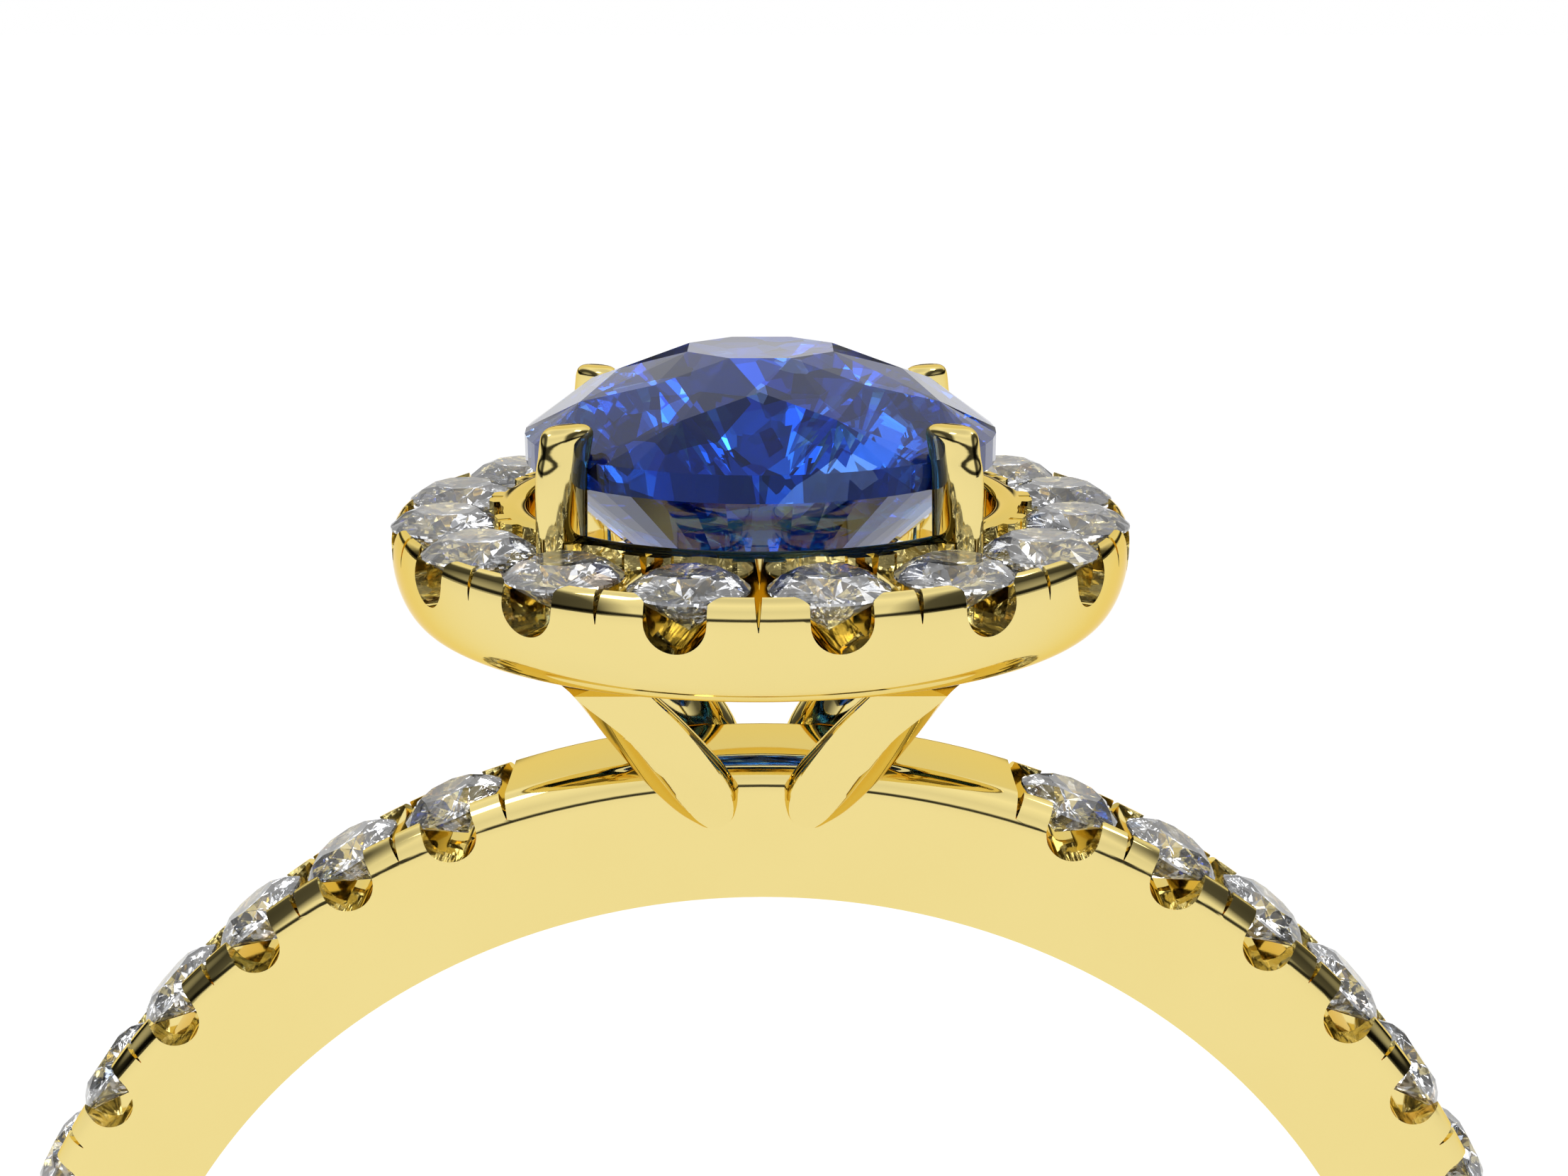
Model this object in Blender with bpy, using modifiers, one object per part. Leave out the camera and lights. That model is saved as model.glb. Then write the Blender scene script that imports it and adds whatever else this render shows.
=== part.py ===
"""Round halo engagement ring: pave shank, four prong legs, halo, one sapphire and its diamonds.

The bore of the shank is centred on the origin and runs along Y. The head stands on +Z.
The four quarters of the head are alike, so each prong is one quarter mirrored in X and in Y.
"""

import math

import bmesh
import bpy
from mathutils import Matrix, Vector

MM = 0.001

# Fits
CLEARANCE = 0.020 * MM              # gap left all round a piece that is let into another
OVERCUT = 0.30 * MM                 # how far a cutter runs past the metal that it cuts

# Shank
BORE_RADIUS = 8.34 * MM
SHANK_WIDTH = 1.70 * MM
SIDE_FACE_HEIGHT = 1.28 * MM        # flat side of the band, from the bore out to the shoulder
SHOULDER_HEIGHT = 0.45 * MM         # rounded outer edge, measured radially
SHOULDER_WIDTH = 0.30 * MM          # rounded outer edge, measured along the bore
SHANK_SEGMENTS = 72

# Small diamonds, all alike
MELEE_DIAMETER = 1.28 * MM
MELEE_TABLE_SHARE = 0.56
MELEE_CROWN = 0.18 * MM
MELEE_GIRDLE = 0.03 * MM
MELEE_PAVILION = 0.42 * MM
MELEE_SPACING_GAP = 0.162 * MM      # between two neighbours on the band

# Pave setting, shared by the shank and the halo
CUT_WIDTH = 0.66 * MM               # round-bottomed cut in the walls under each diamond
SPLIT_WIDTH = 0.08 * MM             # narrow cut between two diamonds, at its mouth
CHANNEL_RISE = 0.05 * MM            # channel floor above the diamonds' culets

# Pave on the shank
SHOULDER_STONES = 9                 # on each side
PLAIN_TOP_ANGLE = 18.06             # degrees from the top of the band to the first narrow cut
SHOULDER_OVERHANG = 0.10 * MM       # rim of a diamond over each wall of its channel
SHOULDER_GIRDLE_DROP = 0.08 * MM    # girdle below the top of the band
SHOULDER_SPLIT_DEPTH = 0.26 * MM
SHOULDER_CULET_ROOM = 0.025 * MM    # under the culet, down to the round cut's floor

# Halo
HALO_GAP = 0.94 * MM                # from the centre stone's girdle out to the diamonds' circle
HALO_LIFT = 2.84 * MM               # girdle of the halo's diamonds above the top of the band
HALO_WALL_OUTSIDE = 0.645 * MM      # halo's outside beyond the diamonds' circle
HALO_TUCK = 0.445 * MM              # how far the outside curves in, down to the bottom edge
HALO_HEIGHT = 1.185 * MM            # bottom edge up to the top of the outer wall
HALO_WIDEST_SHARE = 0.72            # of that height
OUTER_WALL_ABOVE_GIRDLE = 0.065 * MM
INNER_WALL_ABOVE_GIRDLE = 0.18 * MM
SEAT_RAIL_ABOVE_WALL = 0.035 * MM   # smooth rail inside the inner wall
SEAT_RAIL_WIDTH = 0.30 * MM
HALO_OVERHANG = 0.14 * MM
INNER_WALL_THICKNESS = 0.14 * MM
OUTER_SPLIT_DEPTH = 0.37 * MM
INNER_SPLIT_DEPTH = 0.28 * MM
HALO_CULET_ROOM = 0.085 * MM
UNDERSIDE_RISE = 0.47 * MM          # inside foot of the rail above the bottom edge
UNDERSIDE_STEP = 0.20 * MM          # fall of the underside from there to the bottom edge's back
BOTTOM_EDGE_WIDTH = 0.25 * MM
HALO_SEGMENTS = 48
HALO_TURN = 0.21                    # of a segment, keeps the ring's facet edges off the cuts' middles

# Sapphire, with a small table inside a lower tier of facets
SAPPHIRE_DIAMETER = 5.52 * MM
SAPPHIRE_LIFT = 1.01 * MM           # top of its girdle above the girdle of the halo's diamonds
SAPPHIRE_GIRDLE = 0.31 * MM
SAPPHIRE_TABLE_SHARE = 0.33
SAPPHIRE_TIER_SHARE = 0.60
SAPPHIRE_TIER_HEIGHT = 0.70 * MM    # above the girdle's top
SAPPHIRE_CROWN = 0.95 * MM
SAPPHIRE_PAVILION = 2.36 * MM
SAPPHIRE_SIDES = 48

# Prongs and legs
PRONG_OUT = 0.28 * MM               # prong's axis outside the centre stone's girdle
PRONG_RADIAL_HALF = 0.33 * MM       # oval section, half of its length towards the stone
PRONG_ACROSS_HALF = 0.20 * MM
PRONG_ABOVE_GIRDLE = 0.41 * MM
CLAW_LEAN = 0.07 * MM               # how far the claw leans in over the crown, along X and Y
LEG_TIP_DROP = 0.75 * MM            # tip of the leg below the top of the band
LEG_SLANT = 0.50                    # makes the leg's section an oval that runs out and back
LEG_PROUD = 0.25 * MM               # filed face of the leg, clear of the band's side at the tip
LEG_FILE_ANGLE = 14.0               # degrees the filed face leans out as it rises
KNEE_DROP = 0.70 * MM               # where the leg turns up to the prong, below the halo
LEG_SEGMENTS = 16
LEG_RINGS = 20
SHARP_ANGLE = 40.0                  # degrees, edges sharper than this stay hard in the shading

# Lower leg: height above the tip, X, Y beyond the band's side, half width along X and along Y
LEG_ROUTE = (
    (0.00 * MM, 0.65 * MM, 0.08 * MM, 0.12 * MM, 0.20 * MM),
    (0.16 * MM, 0.70 * MM, 0.03 * MM, 0.34 * MM, 0.36 * MM),
    (0.58 * MM, 0.90 * MM, 0.05 * MM, 0.54 * MM, 0.43 * MM),
    (1.26 * MM, 1.36 * MM, 0.27 * MM, 0.53 * MM, 0.43 * MM),
)

# Worked-out sizes
HALF_WIDTH = SHANK_WIDTH / 2
SHOULDER_RADIUS = BORE_RADIUS + SIDE_FACE_HEIGHT
SHANK_RADIUS = SHOULDER_RADIUS + SHOULDER_HEIGHT
MELEE_RADIUS = MELEE_DIAMETER / 2
CULET_DEPTH = MELEE_GIRDLE / 2 + MELEE_PAVILION
SHOULDER_GIRDLE_RADIUS = SHANK_RADIUS - SHOULDER_GIRDLE_DROP
SHOULDER_STONE_PITCH = math.degrees((MELEE_DIAMETER + MELEE_SPACING_GAP) / SHOULDER_GIRDLE_RADIUS)
SAPPHIRE_RADIUS = SAPPHIRE_DIAMETER / 2
HALO_STONE_CIRCLE = SAPPHIRE_RADIUS + HALO_GAP
QUARTER_ARC = math.tau / 4 * HALO_STONE_CIRCLE
HALO_STONES = 4 * int(QUARTER_ARC / (MELEE_DIAMETER + MELEE_SPACING_GAP))
HALO_OUTER_RADIUS = HALO_STONE_CIRCLE + HALO_WALL_OUTSIDE
HALO_OUTER_FACE = HALO_STONE_CIRCLE + MELEE_RADIUS - HALO_OVERHANG
HALO_INNER_FACE = HALO_STONE_CIRCLE - MELEE_RADIUS + HALO_OVERHANG
HALO_RAIL_EDGE = HALO_INNER_FACE - INNER_WALL_THICKNESS
HALO_INNER_RADIUS = HALO_RAIL_EDGE - SEAT_RAIL_WIDTH
HALO_GIRDLE_HEIGHT = SHANK_RADIUS + HALO_LIFT
HALO_RIM = HALO_GIRDLE_HEIGHT + OUTER_WALL_ABOVE_GIRDLE
HALO_BOTTOM = HALO_RIM - HALO_HEIGHT
SAPPHIRE_GIRDLE_TOP = HALO_GIRDLE_HEIGHT + SAPPHIRE_LIFT
SAPPHIRE_HEIGHT = SAPPHIRE_GIRDLE_TOP - SAPPHIRE_GIRDLE / 2
PRONG_OFFSET = (SAPPHIRE_RADIUS + PRONG_OUT) / math.sqrt(2)
PRONG_TOP = SAPPHIRE_GIRDLE_TOP + PRONG_ABOVE_GIRDLE
LEG_TIP_HEIGHT = SHANK_RADIUS - LEG_TIP_DROP
KNEE_HEIGHT = HALO_BOTTOM - KNEE_DROP


# ---------------------------------------------------------------- scene and materials

def clear_scene():
    """Remove whatever the file holds."""
    for item in list(bpy.data.objects):
        bpy.data.objects.remove(item, do_unlink=True)


def make_collection(name):
    """A new collection in the scene."""
    collection = bpy.data.collections.new(name)
    bpy.context.scene.collection.children.link(collection)
    return collection


def make_material(name, colour, roughness, metallic):
    """A plain Principled material."""
    material = bpy.data.materials.new(name)
    material.use_nodes = True
    shader = material.node_tree.nodes["Principled BSDF"]
    shader.inputs["Base Color"].default_value = (*colour, 1.0)
    shader.inputs["Roughness"].default_value = roughness
    shader.inputs["Metallic"].default_value = metallic
    return material


def add_object(name, mesh, collection, material=None):
    """Link a mesh as a named object."""
    item = bpy.data.objects.new(name, mesh)
    collection.objects.link(item)
    if material is not None and not mesh.materials:
        mesh.materials.append(material)
    return item


def mesh_from_bmesh(name, bm):
    """Turn a bmesh into a mesh whose faces point out."""
    bmesh.ops.recalc_face_normals(bm, faces=bm.faces)
    mesh = bpy.data.meshes.new(name)
    bm.to_mesh(mesh)
    bm.free()
    return mesh


def add_cutter(name, mesh, collection):
    """A cutting body, which is not part of the ring."""
    cutter = add_object(name, mesh, collection)
    cutter.display_type = "WIRE"
    cutter.hide_render = True
    return cutter


def cut(item, cutter):
    """Take the cutter's shape out of an object."""
    boolean = item.modifiers.new("cut " + cutter.name, "BOOLEAN")
    boolean.operation = "DIFFERENCE"
    boolean.solver = "EXACT"
    boolean.object = cutter


# ---------------------------------------------------------------- shared shapes

def add_turned(name, profile, segments, collection, material=None):
    """Turn a closed outline of (radius, height) points about Z."""
    bm = bmesh.new()
    corners = [bm.verts.new((radius, 0.0, height)) for radius, height in profile]
    for corner, following in zip(corners, corners[1:] + corners[:1]):
        bm.edges.new((corner, following))
    mesh = bpy.data.meshes.new(name)
    bm.to_mesh(mesh)
    bm.free()
    item = add_object(name, mesh, collection, material)
    screw = item.modifiers.new("turn", "SCREW")
    screw.axis = "Z"
    screw.angle = math.tau
    screw.steps = segments
    screw.render_steps = segments
    screw.use_merge_vertices = True
    screw.merge_threshold = 1e-7
    screw.use_normal_calculate = True
    screw.use_smooth_shade = True
    return item


def arc(centre, half_width, half_height, start, end, steps):
    """Points along an elliptical arc, angles in degrees."""
    points = []
    for step in range(steps + 1):
        angle = math.radians(start + (end - start) * step / steps)
        points.append((centre[0] + half_width * math.cos(angle),
                       centre[1] + half_height * math.sin(angle)))
    return points


def add_prism(bm, outline, length, matrix):
    """Extrude an outline in the YZ plane by length along X, centred, then place it."""
    corners = [bm.verts.new(matrix @ Vector((-length / 2, y, z))) for y, z in outline]
    face = bm.faces.new(corners)
    grown = bmesh.ops.extrude_face_region(bm, geom=[face])
    moved = [part for part in grown["geom"] if isinstance(part, bmesh.types.BMVert)]
    along = (matrix @ Vector((length, 0, 0))) - (matrix @ Vector((0, 0, 0)))
    bmesh.ops.translate(bm, vec=along, verts=moved)


def faceted_mesh(name, rings):
    """A faceted stone as the hull of rings of corners: radius, height, corners, turn in corners."""
    bm = bmesh.new()
    for radius, height, corners, turn in rings:
        for step in range(corners):
            angle = (step + turn) * math.tau / corners
            bm.verts.new((radius * math.cos(angle), radius * math.sin(angle), height))
    bmesh.ops.convex_hull(bm, input=bm.verts)
    loose = [vert for vert in bm.verts if not vert.link_faces]
    bmesh.ops.delete(bm, geom=loose, context="VERTS")
    return mesh_from_bmesh(name, bm)


def melee_mesh():
    """A small round brilliant, its girdle's middle at height 0 and its table up."""
    radius = MELEE_RADIUS
    table = radius * MELEE_TABLE_SHARE
    top = MELEE_GIRDLE / 2
    star = (table + radius) / 2
    lower = radius * 0.25
    half_step = math.cos(math.pi / 8)
    star_rise = (radius - star * half_step) * MELEE_CROWN / (radius - table)
    lower_fall = (radius - lower * half_step) * MELEE_PAVILION / radius
    return faceted_mesh("small diamond", [
        (table, top + MELEE_CROWN, 8, 0),
        (star, top + star_rise, 8, 0.5),
        (radius, top, 16, 0),
        (radius, -top, 16, 0),
        (lower, -top - lower_fall, 8, 0.5),
        (0.0, -CULET_DEPTH, 1, 0),
    ])


def sapphire_mesh(name, grow):
    """The centre stone, its girdle's middle at height 0, grown by a clearance."""
    radius = SAPPHIRE_RADIUS + grow
    top = SAPPHIRE_GIRDLE / 2 + grow
    tier = radius * SAPPHIRE_TIER_SHARE
    star = (tier + radius) / 2
    lower = radius * 0.25
    half_step = math.cos(math.pi / 8)
    star_rise = (radius - star * half_step) * SAPPHIRE_TIER_HEIGHT / (radius - tier)
    lower_fall = (radius - lower * half_step) * SAPPHIRE_PAVILION / radius
    return faceted_mesh(name, [
        (radius * SAPPHIRE_TABLE_SHARE, top + SAPPHIRE_CROWN, 8, 0.5),
        (tier, top + SAPPHIRE_TIER_HEIGHT, 8, 0),
        (star, top + star_rise, 8, 0.5),
        (radius, top, SAPPHIRE_SIDES, 0),
        (radius, -top, SAPPHIRE_SIDES, 0),
        (lower, -top - lower_fall, 8, 0.5),
        (0.0, -top - SAPPHIRE_PAVILION, 1, 0),
    ])


def add_stone_seat(bm, matrix):
    """Room for one small diamond: its pavilion, its girdle and the open space above it."""
    radius = MELEE_RADIUS + CLEARANCE
    low = -MELEE_GIRDLE / 2 - CLEARANCE
    narrow = radius * 0.4
    foot = low - MELEE_PAVILION * (radius - narrow) / MELEE_RADIUS
    rings = []
    for ring_radius, height in ((narrow, foot), (radius, low), (radius, MELEE_CROWN + OVERCUT)):
        ring = []
        for step in range(16):
            angle = step * math.tau / 16
            point = Vector((ring_radius * math.cos(angle), ring_radius * math.sin(angle), height))
            ring.append(bm.verts.new(matrix @ point))
        rings.append(ring)
    bridge_rings(bm, rings)


# ---------------------------------------------------------------- where the diamonds sit

def shoulder_matrix(angle, height):
    """Frame on the band: angle in degrees from the top, towards +X, height from the bore's centre."""
    return Matrix.Rotation(math.radians(angle), 4, "Y") @ Matrix.Translation((0, 0, height))


def halo_matrix(angle, radius, height):
    """Frame on the halo: angle in degrees about Z from the front, its X axis pointing outwards."""
    return Matrix.Rotation(math.radians(angle - 90), 4, "Z") @ Matrix.Translation((radius, 0, height))


def shoulder_stone_angles():
    """Angles of the diamonds on one side of the band."""
    return [PLAIN_TOP_ANGLE + SHOULDER_STONE_PITCH * (number + 0.5) for number in range(SHOULDER_STONES)]


def shoulder_split_angles():
    """Angles of the narrow cuts on one side of the band."""
    return [PLAIN_TOP_ANGLE + SHOULDER_STONE_PITCH * number for number in range(SHOULDER_STONES + 1)]


def halo_stone_angles():
    """Angles of the diamonds round the halo."""
    return [(number + 0.5) * 360 / HALO_STONES for number in range(HALO_STONES)]


def halo_split_angles():
    """Angles of the narrow cuts round the halo."""
    return [number * 360 / HALO_STONES for number in range(HALO_STONES)]


# ---------------------------------------------------------------- shank

def shank_profile(grow):
    """Half outline mirrored about the middle of the band, grown by a clearance."""
    bore = BORE_RADIUS - grow
    shoulder = arc((0, 0), SHOULDER_WIDTH + grow, SHOULDER_HEIGHT + grow, 0, 90, 5)
    flat = HALF_WIDTH - SHOULDER_WIDTH
    upper = [(SHOULDER_RADIUS + height, flat + across) for across, height in shoulder]
    lower = [(radius, -across) for radius, across in reversed(upper)]
    return [(bore, -HALF_WIDTH - grow), (bore, HALF_WIDTH + grow)] + upper + lower


def add_shank_body(name, grow, collection, material=None):
    """The plain band, turned about Y."""
    band = add_turned(name, shank_profile(grow), SHANK_SEGMENTS, collection, material)
    band.rotation_euler = (math.radians(90), 0, 0)
    return band


def shoulder_channel_mesh():
    """Channel for the diamonds, along both sides of the band."""
    bm = bmesh.new()
    floor = SHOULDER_GIRDLE_RADIUS - CULET_DEPTH + CHANNEL_RISE
    half = MELEE_RADIUS - SHOULDER_OVERHANG
    start = PLAIN_TOP_ANGLE
    end = PLAIN_TOP_ANGLE + SHOULDER_STONE_PITCH * SHOULDER_STONES
    steps = SHOULDER_STONES * 2
    for side in (1, -1):
        rings = []
        for step in range(steps + 1):
            angle = math.radians(start + (end - start) * step / steps)
            frame = Vector((side * math.sin(angle), 0, math.cos(angle)))
            ring = []
            for radius, across in ((floor, -1), (floor, 1), (SHANK_RADIUS + OVERCUT, 1),
                                   (SHANK_RADIUS + OVERCUT, -1)):
                point = frame * radius + Vector((0, across * half, 0))
                ring.append(bm.verts.new(point))
            rings.append(ring)
        bridge_rings(bm, rings)
    return mesh_from_bmesh("shoulder channel", bm)


def bridge_rings(bm, rings):
    """Join rings of corners into one closed body."""
    count = len(rings[0])
    for ring, following in zip(rings, rings[1:]):
        for index in range(count):
            after = (index + 1) % count
            bm.faces.new((ring[index], ring[after], following[after], following[index]))
    bm.faces.new(rings[0])
    bm.faces.new(rings[-1])


def add_round_cut(bm, matrix, length, culet_room):
    """A round-bottomed cut along the frame's X axis, its floor just under the diamond's culet."""
    radius = CUT_WIDTH / 2
    floor = -CULET_DEPTH - culet_room
    bottom = arc((0, floor + radius), radius, radius, 180, 360, 7)
    outline = [(radius, OVERCUT * 2)] + [(-radius, OVERCUT * 2)] + bottom
    add_prism(bm, outline, length, matrix)


def add_split(bm, matrix, length, depth, rise=0.0):
    """A narrow cut along the frame's X axis, its tip rising inwards."""
    half = SPLIT_WIDTH / 2
    mouth = half * (depth + OVERCUT) / depth
    corners = []
    for along, lift in ((-length / 2, rise), (length / 2, 0.0)):
        tip = bm.verts.new(matrix @ Vector((along, 0, lift - depth)))
        left = bm.verts.new(matrix @ Vector((along, -mouth, OVERCUT)))
        right = bm.verts.new(matrix @ Vector((along, mouth, OVERCUT)))
        corners.append((tip, left, right))
    bridge_rings(bm, corners)


def shoulder_cuts():
    """Round cuts, narrow cuts and seats for the diamonds on both sides of the band."""
    turn = Matrix.Rotation(math.radians(90), 4, "Z")
    rounds = bmesh.new()
    splits = bmesh.new()
    seats = bmesh.new()
    for side in (1, -1):
        for angle in shoulder_stone_angles():
            frame = shoulder_matrix(side * angle, SHOULDER_GIRDLE_RADIUS)
            add_round_cut(rounds, frame @ turn, SHANK_WIDTH + 2 * OVERCUT, SHOULDER_CULET_ROOM)
            add_stone_seat(seats, frame)
        for angle in shoulder_split_angles():
            frame = shoulder_matrix(side * angle, SHANK_RADIUS)
            add_split(splits, frame @ turn, SHANK_WIDTH + 2 * OVERCUT, SHOULDER_SPLIT_DEPTH)
    return (mesh_from_bmesh("shoulder round cuts", rounds),
            mesh_from_bmesh("shoulder splits", splits),
            mesh_from_bmesh("shoulder seats", seats))


def build_shank(parts, cutters, gold):
    """The band with its channel, cuts and seats."""
    shank = add_shank_body("shank", 0.0, parts, gold)
    cut(shank, add_cutter("shoulder_channel", shoulder_channel_mesh(), cutters))
    for mesh in shoulder_cuts():
        cut(shank, add_cutter(mesh.name.replace(" ", "_"), mesh, cutters))
    return shank


# ---------------------------------------------------------------- halo

def halo_profile():
    """Outline of the halo's ring, from the bottom edge up the outer wall and back inside."""
    girdle = HALO_GIRDLE_HEIGHT
    floor = girdle - CULET_DEPTH + CHANNEL_RISE
    wall_top = girdle + INNER_WALL_ABOVE_GIRDLE
    rail_top = wall_top + SEAT_RAIL_ABOVE_WALL
    widest = HALO_BOTTOM + HALO_WIDEST_SHARE * HALO_HEIGHT
    bottom_radius = HALO_OUTER_RADIUS - HALO_TUCK
    bowl = arc((bottom_radius, widest), HALO_TUCK, widest - HALO_BOTTOM, -90, 0, 6)
    lip = arc((HALO_OUTER_FACE, widest), HALO_OUTER_RADIUS - HALO_OUTER_FACE, HALO_RIM - widest, 30, 75, 2)
    rail_half = SEAT_RAIL_WIDTH / 2
    rail = arc((HALO_INNER_RADIUS + rail_half, rail_top - rail_half / 2), rail_half, rail_half / 2, 55, 180, 5)
    foot = HALO_BOTTOM + UNDERSIDE_RISE
    back = bottom_radius - BOTTOM_EDGE_WIDTH
    knee = (HALO_INNER_RADIUS + back) / 2
    return (bowl + lip
            + [(HALO_OUTER_FACE, HALO_RIM), (HALO_OUTER_FACE, floor), (HALO_INNER_FACE, floor),
               (HALO_INNER_FACE, wall_top), (HALO_RAIL_EDGE, wall_top)]
            + rail
            + [(HALO_INNER_RADIUS, foot), (knee, foot - UNDERSIDE_STEP), (back, HALO_BOTTOM)])


def halo_cuts():
    """Round cuts, narrow cuts and seats for the halo's diamonds."""
    rounds = bmesh.new()
    splits = bmesh.new()
    seats = bmesh.new()
    reach = HALO_OUTER_RADIUS + OVERCUT - HALO_RAIL_EDGE
    middle = HALO_RAIL_EDGE + reach / 2
    rise = OUTER_SPLIT_DEPTH - INNER_SPLIT_DEPTH + INNER_WALL_ABOVE_GIRDLE - OUTER_WALL_ABOVE_GIRDLE
    for angle in halo_stone_angles():
        add_round_cut(rounds, halo_matrix(angle, middle, HALO_GIRDLE_HEIGHT), reach, HALO_CULET_ROOM)
        add_stone_seat(seats, halo_matrix(angle, HALO_STONE_CIRCLE, HALO_GIRDLE_HEIGHT))
    for angle in halo_split_angles():
        add_split(splits, halo_matrix(angle, middle, HALO_RIM), reach, OUTER_SPLIT_DEPTH, rise)
    return (mesh_from_bmesh("halo round cuts", rounds),
            mesh_from_bmesh("halo splits", splits),
            mesh_from_bmesh("halo seats", seats))


def build_halo(parts, cutters, gold):
    """The halo with its channel, cuts, seats and the pockets that the prongs pass through."""
    halo = add_turned("halo", halo_profile(), HALO_SEGMENTS, parts, gold)
    halo.rotation_euler.z = HALO_TURN * math.tau / HALO_SEGMENTS
    for mesh in halo_cuts():
        cut(halo, add_cutter(mesh.name.replace(" ", "_"), mesh, cutters))
    for across, along in QUARTERS.values():
        name = f"pocket_{across}_{along}"
        cut(halo, add_cutter(name, prong_mesh(name, across, along, CLEARANCE), cutters))
    return halo


# ---------------------------------------------------------------- prongs

QUARTERS = {
    "front_left": (-1, -1),
    "front_right": (1, -1),
    "back_left": (-1, 1),
    "back_right": (1, 1),
}


def prong_oval(size):
    """Half widths along X and Y, and slant, of the prong's oval section, which points at the stone."""
    long = size * PRONG_RADIAL_HALF
    short = size * PRONG_ACROSS_HALF
    half_y = math.sqrt((long ** 2 + short ** 2) / 2)
    slant = -(long ** 2 - short ** 2) / (long ** 2 + short ** 2)
    return half_y * math.sqrt(1 - slant ** 2), half_y, slant


def prong_stations():
    """Height, X, Y, half width along X and Y, and slant of the prong's sections, tip to claw."""
    prong = PRONG_OFFSET
    claw = prong - CLAW_LEAN
    girdle = SAPPHIRE_GIRDLE_TOP
    stations = []
    for rise, x, beyond, half_x, half_y in LEG_ROUTE:
        stations.append((LEG_TIP_HEIGHT + rise, x, HALF_WIDTH + beyond, half_x, half_y, LEG_SLANT))
    stations += [
        (KNEE_HEIGHT, prong - 0.44 * MM, prong - 0.74 * MM, 0.46 * MM, 0.42 * MM, 0.1),
        (HALO_BOTTOM - 0.20 * MM, prong - 0.11 * MM, prong - 0.21 * MM, *prong_oval(1.2)),
        (HALO_BOTTOM + 0.30 * MM, prong, prong, *prong_oval(1.0)),
        (girdle - SAPPHIRE_GIRDLE, prong, prong, *prong_oval(1.0)),
        (girdle + 0.10 * MM, claw + 0.03 * MM, claw + 0.03 * MM, *prong_oval(1.0)),
        (PRONG_TOP - 0.10 * MM, claw, claw, *prong_oval(1.0)),
        (PRONG_TOP - 0.02 * MM, claw, claw, *prong_oval(0.78)),
        (PRONG_TOP, claw, claw, *prong_oval(0.45)),
    ]
    return stations


def smooth_stations(stations, count):
    """Sections at even steps along a smooth curve through the stations."""
    smooth = []
    spans = len(stations) - 1
    for step in range(count + 1):
        place = step * spans / count
        index = min(int(place), spans - 1)
        share = place - index
        before = stations[max(index - 1, 0)]
        here = stations[index]
        after = stations[index + 1]
        beyond = stations[min(index + 2, spans)]
        section = []
        for a, b, c, d in zip(before, here, after, beyond):
            section.append(0.5 * (2 * b + (c - a) * share + (2 * a - 5 * b + 4 * c - d) * share ** 2
                                  + (3 * b - a - 3 * c + d) * share ** 3))
        smooth.append(section)
    return smooth


def prong_mesh(name, across, along, grow):
    """Loft of one prong and its leg, mirrored into its quarter, grown by a clearance."""
    bm = bmesh.new()
    rings = []
    for height, x, y, half_x, half_y, slant in smooth_stations(prong_stations(), LEG_RINGS):
        ring = []
        for step in range(LEG_SEGMENTS):
            angle = step * math.tau / LEG_SEGMENTS
            out = (half_y + grow) * math.sin(angle)
            wide = (half_x + grow) * math.cos(angle)
            ring.append(bm.verts.new((across * (x + wide - slant * out), along * (y + out), height)))
        rings.append(ring)
    bridge_rings(bm, rings)
    mesh = mesh_from_bmesh(name, bm)
    mesh.shade_smooth()
    mesh.set_sharp_from_angle(angle=math.radians(SHARP_ANGLE))
    return mesh


def filing_mesh():
    """Everything in front of the filed faces of the front legs; the back legs use it mirrored."""
    bm = bmesh.new()
    lean = math.tan(math.radians(LEG_FILE_ANGLE))
    foot = HALF_WIDTH + LEG_PROUD
    bottom = LEG_TIP_HEIGHT - OVERCUT
    knee_out = foot + (KNEE_HEIGHT - LEG_TIP_HEIGHT) * lean
    prong_out = PRONG_OFFSET + PRONG_RADIAL_HALF
    clear = prong_out + OVERCUT / 3
    far = prong_out + 3 * OVERCUT
    outline = [(foot - OVERCUT * lean, bottom), (knee_out, KNEE_HEIGHT),
               (clear, HALO_BOTTOM), (far, HALO_BOTTOM), (far, bottom)]
    add_prism(bm, outline, 4 * PRONG_OFFSET, Matrix.Identity(4))
    copies = bmesh.ops.duplicate(bm, geom=bm.verts[:] + bm.edges[:] + bm.faces[:])
    moved = [part for part in copies["geom"] if isinstance(part, bmesh.types.BMVert)]
    bmesh.ops.scale(bm, vec=(1, -1, 1), verts=moved)
    return mesh_from_bmesh("filing", bm)


def build_prongs(parts, cutters, gold):
    """Four prongs with their legs, let over the band and under the sapphire's girdle."""
    band = add_shank_body("band_room", CLEARANCE, cutters)
    band.display_type = "WIRE"
    band.hide_render = True
    room = sapphire_mesh("sapphire room", CLEARANCE)
    stone = add_cutter("sapphire_room", room, cutters)
    stone.location.z = SAPPHIRE_HEIGHT
    filing = add_cutter("filing", filing_mesh(), cutters)
    for quarter, (across, along) in QUARTERS.items():
        name = "prong_" + quarter
        prong = add_object(name, prong_mesh(name, across, along, 0.0), parts, gold)
        cut(prong, filing)
        cut(prong, band)
        cut(prong, stone)


# ---------------------------------------------------------------- stones

def build_sapphire(parts, blue):
    """The round centre stone."""
    stone = add_object("centre_sapphire", sapphire_mesh("centre_sapphire", 0.0), parts, blue)
    stone.location.z = SAPPHIRE_HEIGHT


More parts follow.
